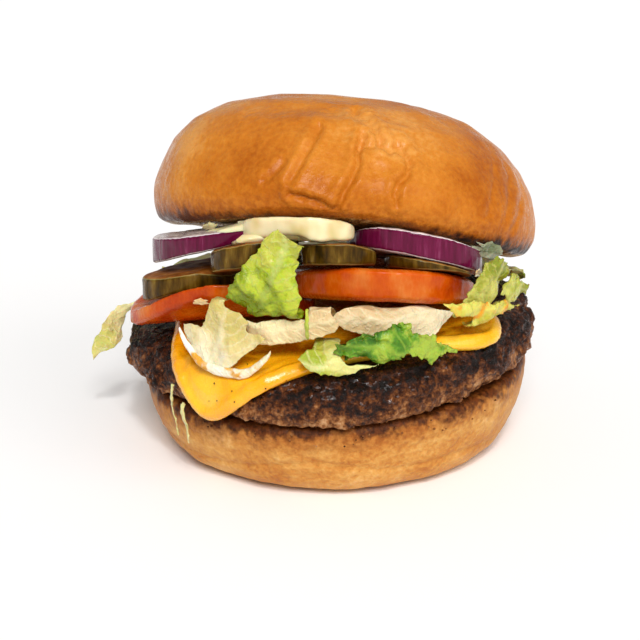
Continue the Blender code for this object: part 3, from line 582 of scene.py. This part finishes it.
def crown_relief(point, normal, wrinkles):
    # Broad dents, wrinkles and the fine folds of a bun that settled.
    spot = point / MM
    raised = waves(spot, CROWN_WAVES)
    if spot.y < 0.0 and normal.z > -0.3:
        wander = 0.6 * noise.noise(spot * 0.45)
        forward = smooth_step(-8.0, -24.0, spot.y)
        for line, depth in wrinkles:
            away = distance_to_line(spot.x + wander, spot.z + wander, line)
            if away < WRINKLE_REACH:
                raised -= GROOVE_DEPTH * forward * depth * hump(away, 0.0, GROOVE_WIDTH)
                raised += SWELLING_HEIGHT * forward * depth * hump(away, SWELLING_AWAY, SWELLING_WIDTH)
        middle = hump(spot.x, 3.0, 20.0) * smooth_step(104.0, 95.0, spot.z)
        stretched = Vector((spot.x * 0.10, 0.0, spot.z * 0.08))
        folds = noise.ridged_multi_fractal(stretched, 1.0, 2.1, 3, 1.0, 2.0)
        raised += 0.35 * middle * forward * (folds - 1.2)
    side = smooth_step(34.0, 54.0, abs(spot.x))
    raised += 0.10 * side * noise.noise(Vector((spot.x * 0.25, spot.y * 0.45, spot.z * 0.06)))
    return raised * MM


def heel_relief(point, normal):
    # Swellings that run round the bun, and one shallow fold above its foot,
    # which stays flat.
    spot = point / MM
    raised = 0.6 * noise.noise(Vector((spot.x * 0.09, spot.y * 0.09, spot.z * 0.06)))
    raised += waves(spot, HEEL_WAVES)
    around = math.atan2(spot.y, spot.x)
    fold = 9.0 + 2.0 * math.sin(3.0 * around) + 1.2 * math.sin(7.0 * around + 1.0)
    raised -= 0.5 * hump(spot.z, fold, 0.8)
    return raised * MM * smooth_step(0.5, 3.0, spot.z)


def beef_relief(point, normal):
    # Crumbles of ground beef, 3 to 5 mm across, with deeper cracks between;
    # the flat faces have a fifth of the relief of the side.
    spot = point / MM
    side = 1.0 - smooth_step(0.75, 0.98, abs(normal.z))
    near = noise.voronoi(spot * 0.22 + push_at(spot * 0.2) * 0.5)[0]
    crumbles = 1.6 * min(0.6, near[1] - near[0]) - 0.5
    crags = noise.fractal(spot * 0.12, 0.9, 2.0, 3)
    fine = noise.fractal(spot * 0.6, 0.8, 2.0, 3)
    return (1.3 * crumbles + 1.0 * crags + 0.45 * fine) * MM * (0.2 + 0.8 * side)


def build_bread(frame):
    mesh = remade(frame, "top_bun", CROWN_CELL, rounds=26)
    wrinkles = crown_wrinkles(frame)
    raise_relief(mesh, lambda point, normal: crown_relief(point, normal, wrinkles))
    add_piece("baked_top_bun", mesh, egg_washed_crust(), "top_bun")
    mesh = remade(frame, "bottom_bun", HEEL_CELL, rounds=14)
    raise_relief(mesh, heel_relief)
    add_piece("baked_bottom_bun", mesh, soft_heel_crust(), "bottom_bun")


def build_beef(frame):
    mesh = remade(frame, "patty", BEEF_CELL, rounds=6)
    raise_relief(mesh, beef_relief)
    add_piece("grilled_patty", mesh, char_grilled_beef(), "patty")


def build_cheese(frame):
    # The slice slumps into a thick rounded bead along its edge.
    rim = edges_of(frame, "cheese")
    mesh = remade(frame, "cheese", SLICE_CELL, rounds=10)

    def bead(point, normal):
        away = rim.find(point)[2] / MM
        return (hump(away, 1.7, 1.5) + waves(point / MM, CHEESE_WAVES)) * MM

    raise_relief(mesh, bead)
    add_piece("cheese_slice", mesh, melted_cheese(), "cheese")


def slice_relief(point, normal):
    # Slight waves of a hand cut slice.
    return waves(point / MM, SLICE_WAVES) * MM


def sauce_relief(point, normal):
    # Slow drips of thick sauce along the front.
    spot = point / MM
    drips = noise.noise(Vector((spot.x * 0.20, 0.0, 3.0)))
    return (1.1 * drips * smooth_step(0.3, -0.6, normal.z) + waves(spot, SAUCE_WAVES)) * MM


def let_sauce_hang(mesh):
    # The sauce hangs lowest right of its middle, thins out to the right and
    # creeps on to the end of the left onion slice.
    for vertex in mesh.vertices:
        x, z = vertex.co.x / MM, vertex.co.z / MM
        top = 77.3 - 0.03 * x
        lower = smooth_step(top, top - 7.0, z)
        vertex.co.z += 1.2 * smooth_step(-3.0, 5.0, x) * lower * MM
        vertex.co.x -= 3.5 * smooth_step(-8.0, -20.0, x) * MM
    mesh.update()


def build_slices(frame):
    groups = (
        (("tomato_left", "tomato_right"), ripe_tomato(), "tomato_flesh", slice_relief),
        (("onion_left", "onion_right"), red_onion(), "red_onion", slice_relief),
        (("pickle_left", "pickle_middle_left", "pickle_middle", "pickle_right"), pickled_cucumber(),
         "pickle_flesh", slice_relief),
        (("sauce",), white_sauce(), "white_sauce", sauce_relief),
    )
    for nodes, material, slot, relief in groups:
        for node in nodes:
            mesh = remade(frame, node, SLICE_CELL, rounds=5)
            raise_relief(mesh, relief)
            if node == "sauce":
                let_sauce_hang(mesh)
            add_piece("fine_" + node, mesh, material, node)


# Leaves: colours of rib, blade, tip and vein ends, the two ends of the main
# rib in millimetres, and how lively the leaf frills.
LEAF_LOOKS = {
    "lettuce_upright": (
        ("74860a", "aebc2a", "b6b644", "ccd07c"),
        (-22.0, -55.0, 52.0), (-12.0, -57.0, 81.0), 1.1),
    "lettuce_fold": (
        ("e8dcba", "dac88e", "c8b668", "dccc96"),
        (-34.0, -52.0, 38.0), (-30.0, -52.0, 56.0), 0.35),
    "lettuce_cream_left": (
        ("ecdcac", "e4d09e", "d8ba88", "e8d6a8"),
        (-24.0, -51.0, 48.0), (0.0, -56.0, 54.0), 0.3),
    "lettuce_cream_right": (
        ("eadab6", "e0ca9c", "ceb080", "e6d2a8"),
        (34.0, -43.0, 52.0), (0.0, -55.0, 54.0), 0.3),
    "lettuce_frill": (
        ("9cb238", "5c8c16", "3a6c0a", "7c9e2c"),
        (24.0, -57.0, 45.0), (2.0, -62.0, 50.0), 1.5),
    "lettuce_lime": (
        ("d6d080", "bcbc4c", "9eaa30", "dcd896"),
        (3.0, -61.0, 43.0), (-7.0, -60.0, 44.0), 0.6),
    "lettuce_right_upright": (
        ("c2be5c", "98982a", "80881c", "c8c66c"),
        (42.0, -43.0, 52.0), (47.0, -37.0, 68.0), 1.0),
    "lettuce_right_low": (
        ("c4c25e", "a2a432", "8a8e22", "c8c66c"),
        (48.0, -38.0, 52.0), (54.0, -30.0, 59.0), 1.0),
    "lettuce_right_strip": (
        ("d0c85a", "b8ae2c", "a09c1c", "d4cc6c"),
        (34.0, -51.0, 56.0), (53.0, -30.0, 50.0), 0.9),
    "lettuce_left": (
        ("eee2a8", "e0d08a", "c8c464", "f2e6b8"),
        (-56.0, 9.0, 38.0), (-73.0, 5.0, 21.0), 0.3),
    "lettuce_back_left": (
        ("d8d484", "a8b43a", "7e921e", "d2d084"),
        (-42.0, 38.0, 45.0), (-48.0, 44.0, 36.0), 1.0),
    "lettuce_back": (
        ("d4d080", "a4b038", "768e1a", "d2d084"),
        (-6.0, 60.0, 41.0), (-7.0, 64.0, 34.0), 1.0),
    "lettuce_back_right": (
        ("d4d080", "a4b038", "768e1a", "d2d084"),
        (53.0, 26.0, 44.0), (56.0, 27.0, 38.0), 1.0),
    "shred_outer": (
        ("dcd494", "c4ba6c", "b4aa54", "e0d8a0"),
        (-46.0, -41.0, 31.0), (-45.0, -42.0, 14.0), 0.3),
    "shred_inner": (
        ("dcd494", "c4ba6c", "b4aa54", "e0d8a0"),
        (-43.0, -44.0, 31.0), (-42.0, -45.0, 14.0), 0.3),
    "shred_green": (
        ("b0bc3c", "8ca024", "74900f", "b8c058"),
        (-8.0, -58.0, 58.0), (-8.0, -59.0, 50.0), 0.3),
}


def leaf_ruffle(point, away, liveliness):
    # Both faces of a leaf move alike, so it stays equally thin. It waves all
    # over and frills more within 3 mm of its rim.
    spot = point / MM
    push = push_at(spot * 0.11) * 1.5 + push_at(spot * 0.30) * 0.8 * liveliness
    push += push_at(spot * 0.75) * 0.9 * liveliness * math.exp(-away / 1.5)
    return push * MM


def build_leaves(frame):
    for node, (colours, rib_start, rib_end, liveliness) in LEAF_LOOKS.items():
        rim = edges_of(frame, node)
        mesh = remade(frame, node, LEAF_CELL, rounds=3)
        normals = [Vector(vertex.normal) for vertex in mesh.vertices]
        for vertex, normal in zip(mesh.vertices, normals):
            away = rim.find(vertex.co)[2] / MM
            thinner = 0.24 * smooth_step(2.8, 0.4, away)
            vertex.co += leaf_ruffle(vertex.co, away, liveliness) - normal * thinner * MM
        stain = "dc9416" if node == "lettuce_right_strip" else None
        leaf = crisp_leaf(node + "_leaf", colours, rib_start, rib_end, 0.34 * liveliness, stain=stain)
        add_piece("fine_" + node, mesh, leaf, node)


def mesh_from(name, points, faces):
    mesh = bpy.data.meshes.new(name)
    mesh.from_pydata([tuple(point * MM) for point in points], [], faces)
    mesh.update()
    mesh.polygons.foreach_set("use_smooth", [True] * len(mesh.polygons))
    return mesh


def bent_rib(name, path, wide, thick):
    # Oval rod along a path in millimetres, thin at both ends; wide is its
    # upright size and thick its size outward from the burger.
    steps = 60
    sides = 14
    points = []
    for step in range(steps + 1):
        place = step / steps * (len(path) - 1)
        index = min(int(place), len(path) - 2)
        share = place - index
        before = Vector(path[max(index - 1, 0)])
        start = Vector(path[index])
        end = Vector(path[index + 1])
        after = Vector(path[min(index + 2, len(path) - 1)])
        centre = 0.5 * (2.0 * start + (end - before) * share
                        + (2.0 * before - 5.0 * start + 4.0 * end - after) * share ** 2
                        + (3.0 * start - before - 3.0 * end + after) * share ** 3)
        outward = Vector((centre.x, centre.y, 0.0)).normalized()
        swell = math.sin(math.pi * (0.04 + 0.92 * step / steps)) ** 0.5
        for side in range(sides):
            angle = 2.0 * math.pi * side / sides
            offset = Vector((0.0, 0.0, 0.5 * wide * math.sin(angle)))
            offset += outward * 0.5 * thick * math.cos(angle)
            points.append(centre + offset * swell + push_at(centre * 0.4) * 0.3)
    faces = []
    for step in range(steps):
        for side in range(sides):
            following = (side + 1) % sides
            low = step * sides
            faces.append((low + side, low + following, low + sides + following, low + sides + side))
    faces.append(tuple(reversed(range(sides))))
    faces.append(tuple(range(steps * sides, (steps + 1) * sides)))
    return mesh_from(name, points, faces)


# How finely and how deep a small flake is torn and crumpled, and the share of
# its thickness that it loses at its rim
TEAR_FINENESS = 2.2
TEAR_DEPTH = 0.6
CRUMPLE_FINENESS = 0.35
CRUMPLE_DEPTH = 0.7
RIM_LOSS = 0.7


def scrap(name, centre, right, up, half_width, half_height, thick=0.5, seed=0.0):
    # Small crumpled flake with a torn outline, in millimetres.
    centre, right, up = Vector(centre), Vector(right).normalized(), Vector(up).normalized()
    outward = right.cross(up)
    rings = 6
    sides = 22
    points = []
    for side_of_sheet in (0.5, -0.5):
        points.append(centre + outward * thick * side_of_sheet)
        for ring in range(1, rings + 1):
            for side in range(sides):
                angle = 2.0 * math.pi * side / sides
                around = Vector((TEAR_FINENESS * math.cos(angle), TEAR_FINENESS * math.sin(angle), seed))
                torn = 1.0 + TEAR_DEPTH * noise.fractal(around, 0.7, 2.0, 3)
                reach = ring / rings * torn
                spot = centre + right * half_width * reach * math.cos(angle)
                spot += up * half_height * reach * math.sin(angle)
                crumple = push_at(spot * CRUMPLE_FINENESS + Vector((seed, 0.0, 0.0))) * CRUMPLE_DEPTH
                edge = 1.0 - RIM_LOSS * (ring == rings)
                points.append(spot + crumple + outward * thick * side_of_sheet * edge)
    count = 1 + rings * sides
    faces = []
    for base in (0, count):
        turned = base == count
        for side in range(sides):
            following = (side + 1) % sides
            face = (base, base + 1 + side, base + 1 + following)
            faces.append(tuple(reversed(face)) if turned else face)
            for ring in range(rings - 1):
                low = base + 1 + ring * sides
                face = (low + side, low + sides + side, low + sides + following, low + following)
                faces.append(tuple(reversed(face)) if turned else face)
    rim = 1 + (rings - 1) * sides
    for side in range(sides):
        following = (side + 1) % sides
        faces.append((rim + side, count + rim + side, count + rim + following, rim + following))
    return mesh_from(name, points, faces)


# Upper face of the left onion slice: one place on it, and how it rises to the
# right and sinks to the back
ONION_PLACE = Vector((-53.0, -15.0, 65.2))
ONION_RISE_RIGHT = 0.19
ONION_SINK_BACK = 0.20
# Outer edge of that slice, an arc
ARC_MIDDLE = Vector((-23.5, -12.5))
ARC_RADIUS = 29.0
# Sauce on it, in millimetres: its middle, half its width and depth, how it turns
# forward to the right, its thickness, how far it is sunk in, and how fast it
# drops beyond the edge of the slice
SMEAR_MIDDLE = Vector((-27.0, -37.3))
SMEAR_HALF_WIDTH = 8.0
SMEAR_HALF_DEPTH = 4.4
SMEAR_SLANT = 0.35
SMEAR_THICKNESS = 1.7
SMEAR_SUNK = 0.15
SMEAR_DROP = 0.9


def onion_top(x, y):
    return ONION_PLACE.z + ONION_RISE_RIGHT * (x - ONION_PLACE.x) - ONION_SINK_BACK * (y - ONION_PLACE.y)


def sauce_over_onion():
    # Sauce pressed out between the left onion slice and the top bun; it runs
    # over the outer edge of the slice.
    rings = 14
    sides = 40
    points = []
    for upper in (True, False):
        for ring in range(rings + 1):
            for side in range(sides):
                angle = 2.0 * math.pi * side / sides
                lobes = 1.0 + 0.22 * math.sin(3.0 * angle + 0.6) + 0.12 * math.sin(5.0 * angle)
                reach = ring / rings * lobes
                x = SMEAR_MIDDLE.x + SMEAR_HALF_WIDTH * reach * math.cos(angle)
                y = SMEAR_MIDDLE.y + SMEAR_HALF_DEPTH * reach * math.sin(angle)
                y -= SMEAR_SLANT * (x - SMEAR_MIDDLE.x)
                beyond = max(0.0, math.hypot(x - ARC_MIDDLE.x, y - ARC_MIDDLE.y) - ARC_RADIUS)
                floor = onion_top(x, y) - SMEAR_DROP * beyond
                domed = math.sqrt(max(0.0, 1.0 - (ring / rings) ** 2))
                thick = SMEAR_THICKNESS * domed * (0.7 + 0.3 * math.cos(angle))
                points.append(Vector((x, y, floor + (thick if upper else -SMEAR_SUNK))))
    count = (rings + 1) * sides
    faces = []
    for base in (0, count):
        for ring in range(rings):
            for side in range(sides):
                following = (side + 1) % sides
                low = base + ring * sides
                face = (low + side, low + sides + side, low + sides + following, low + following)
                faces.append(face if base == 0 else tuple(reversed(face)))
    for side in range(sides):
        following = (side + 1) % sides
        low = rings * sides
        faces.append((low + side, count + low + side, count + low + following, low + following))
    return mesh_from("sauce_over_onion", points, faces)


CRUMB_SEED = 7
CRUMB_LIFT = 0.9
FAR_IN_FRONT = -100.0


def crumbs_on(frame, node, count, low, high, biggest):
    # Specks of char that lie on a CAD node, seen from the front between the
    # corners low and high, given as x and z in millimetres.
    surface = surface_of(frame, node)
    chance = random.Random(CRUMB_SEED)
    points = []
    faces = []
    corners = [Vector(corner) for corner in (
        (1, 0, 0), (0, 1, 0), (-1, 0, 0), (0, -1, 0), (0, 0, 1), (0, 0, -1))]
    sides = ((0, 1, 4), (1, 2, 4), (2, 3, 4), (3, 0, 4), (1, 0, 5), (2, 1, 5), (3, 2, 5), (0, 3, 5))
    for number in range(count):
        x, z = chance.uniform(low[0], high[0]), chance.uniform(low[1], high[1])
        hit = surface.ray_cast(Vector((x, FAR_IN_FRONT, z)) * MM, Vector((0.0, 1.0, 0.0)))
        size = chance.uniform(0.4, 1.0) * biggest
        if hit[0] is not None:
            base = len(points)
            raised = hit[0] / MM + hit[1] * CRUMB_LIFT
            points += [raised + corner * size * chance.uniform(0.6, 1.2) for corner in corners]
            faces += [tuple(base + corner for corner in side) for side in sides]
    return mesh_from(node + "_crumbs", points, faces)


# White rib of the folded leaf, which hangs in a curve round the burger: its
# distance from the middle axis, its lowest height, the rise to its ends and how
# far its left end is above and its right end below that rise, in millimetres;
# then the angle of its middle from the front and half its span, in degrees.
RIB_RADIUS = 62.6
RIB_LOW = 39.0
RIB_RISE = 8.3
RIB_LEAN = 0.7
RIB_STEEPNESS = 3.0
RIB_MIDDLE = -29.9
RIB_HALF_SPAN = 13.5
RIB_POINTS = 7


def fold_rib_path():
    # Its points close up towards both ends, where the rib turns up most.
    path = []
    for number in range(RIB_POINTS):
        share = math.sin(math.pi * (number / (RIB_POINTS - 1) - 0.5))
        angle = math.radians(RIB_MIDDLE + RIB_HALF_SPAN * share)
        height = RIB_LOW + RIB_RISE * abs(share) ** RIB_STEEPNESS - RIB_LEAN * share
        path.append((RIB_RADIUS * math.sin(angle), -RIB_RADIUS * math.cos(angle), height))
    return path


def build_extras(frame):
    # Bits that the photograph shows on and between the slices.
    sauce = white_sauce()
    add_piece("onion_sauce", sauce_over_onion(), sauce)
    add_piece("pickle_sauce", scrap("pickle_sauce", (-17.5, -39.5, 72.0),
                                    (1.0, 0.0, 0.10), (0.0, 1.0, -0.36),
                                    9.5, 11.0, thick=2.4, seed=5.0), sauce)
    white = crisp_leaf("white_rib", ("f4efe0", "ece2c6", "e6d8b0", "f6f2e6"), (-42.0, -45.0, 48.0),
                       (-18.0, -60.0, 47.0), 0.2, stain="e0a032")
    add_piece("leaf_rib", bent_rib("leaf_rib", fold_rib_path(), wide=3.0, thick=1.7), white)
    # Wet lettuce scrap on the right: its greyish green is painted shade over the leaf's own green.
    greyish = crisp_leaf("shaded_wet_scrap", ("a8a88c", "8c9070", "6f7854", "c4c4ac"), (38.0, -36.0, 64.0),
                         (48.0, -32.0, 66.0), 0.4)
    add_piece("right_scrap", scrap("right_scrap", (42.0, -35.5, 67.3), (0.8, 0.5, -0.25), (0.0, -0.3, 1.0),
                                   5.2, 2.6, seed=1.0), greyish)
    add_piece("white_scrap", scrap("white_scrap", (39.2, -39.2, 61.8), (0.7, 0.6, 0.1), (0.0, -0.2, 1.0),
                                   1.1, 1.2, seed=2.0), white)
    flake = crisp_leaf("tomato_flake", ("e8c890", "dcae6c", "d89a4c", "f0dcb0"), (-41.0, -41.0, 54.0),
                       (-35.0, -41.5, 54.0), 0.4)
    add_piece("left_flake", scrap("left_flake", (-37.6, -40.9, 54.2), (1.0, -0.25, 0.1), (0.0, -0.2, 1.0),
                                  2.3, 1.1, thick=0.3, seed=3.4), flake)
    char = char_grilled_beef()
    add_piece("cheese_crumbs", crumbs_on(frame, "cheese", 12, (-36.0, 30.0), (-8.0, 42.0), 0.45), char)
    add_piece("heel_crumbs", crumbs_on(frame, "bottom_bun", 40, (-46.0, 19.0), (46.0, 24.0), 0.55), char)
    add_piece("sauce_curl", scrap("sauce_curl", (-35.0, -30.5, 73.0), (1.0, -0.5, 0.2), (0.0, -0.7, 1.0),
                                  2.6, 1.4, thick=0.9, seed=4.0), sauce)


def add_camera():
    back = camera_back()
    camera_data = bpy.data.cameras.new("camera")
    camera_data.lens = CAMERA_LENS_MM
    camera_data.sensor_width = SENSOR_MM
    camera_data.clip_start = 0.01
    camera = bpy.data.objects.new("camera", camera_data)
    camera.location = CAMERA_TARGET + back * CAMERA_DISTANCE
    camera.rotation_euler = (-back).to_track_quat("-Z", "Y").to_euler()
    bpy.context.scene.collection.objects.link(camera)
    bpy.context.scene.camera = camera


def add_light(name, towards, softness_degrees, power):
    # Distant soft lamp, seen in the direction towards, that lights all alike.
    light_data = bpy.data.lights.new(name, "SUN")
    light_data.angle = math.radians(softness_degrees)
    light_data.energy = power
    light = bpy.data.objects.new(name, light_data)
    light.rotation_euler = (-towards).to_track_quat("-Z", "Y").to_euler()
    bpy.context.scene.collection.objects.link(light)


def add_floor():
    mesh = bpy.data.meshes.new("floor")
    reach = 3.0
    corners = [(-reach, -reach, 0), (reach, -reach, 0), (reach, reach, 0), (-reach, reach, 0)]
    mesh.from_pydata(corners, [], [(0, 1, 2, 3)])
    floor = bpy.data.objects.new("floor", mesh)
    bpy.context.scene.collection.objects.link(floor)
    material = start_material("pale_floor", {"Base Color": linear("fbfaf9"), "Roughness": 0.8})[0]
    mesh.materials.append(material)


def add_studio():
    add_floor()
    add_light("key", Vector((0.05, -0.95, 0.90)), 24.0, 2.2)
    add_light("fill", Vector((0.8, -0.7, 0.6)), 45.0, 0.7)
    add_light("glint", Vector((0.1, -0.8, 1.0)), 5.0, 0.55)
    world = bpy.data.worlds.new("studio")
    world.use_nodes = True
    world.node_tree.nodes["Background"].inputs["Color"].default_value = linear("ffffff")
    world.node_tree.nodes["Background"].inputs["Strength"].default_value = 0.38
    bpy.context.scene.world = world
    bpy.context.scene.view_settings.view_transform = "Standard"
    add_camera()


def main():
    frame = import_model()
    build_bread(frame)
    build_beef(frame)
    build_cheese(frame)
    build_slices(frame)
    build_leaves(frame)
    build_extras(frame)
    add_studio()


main()
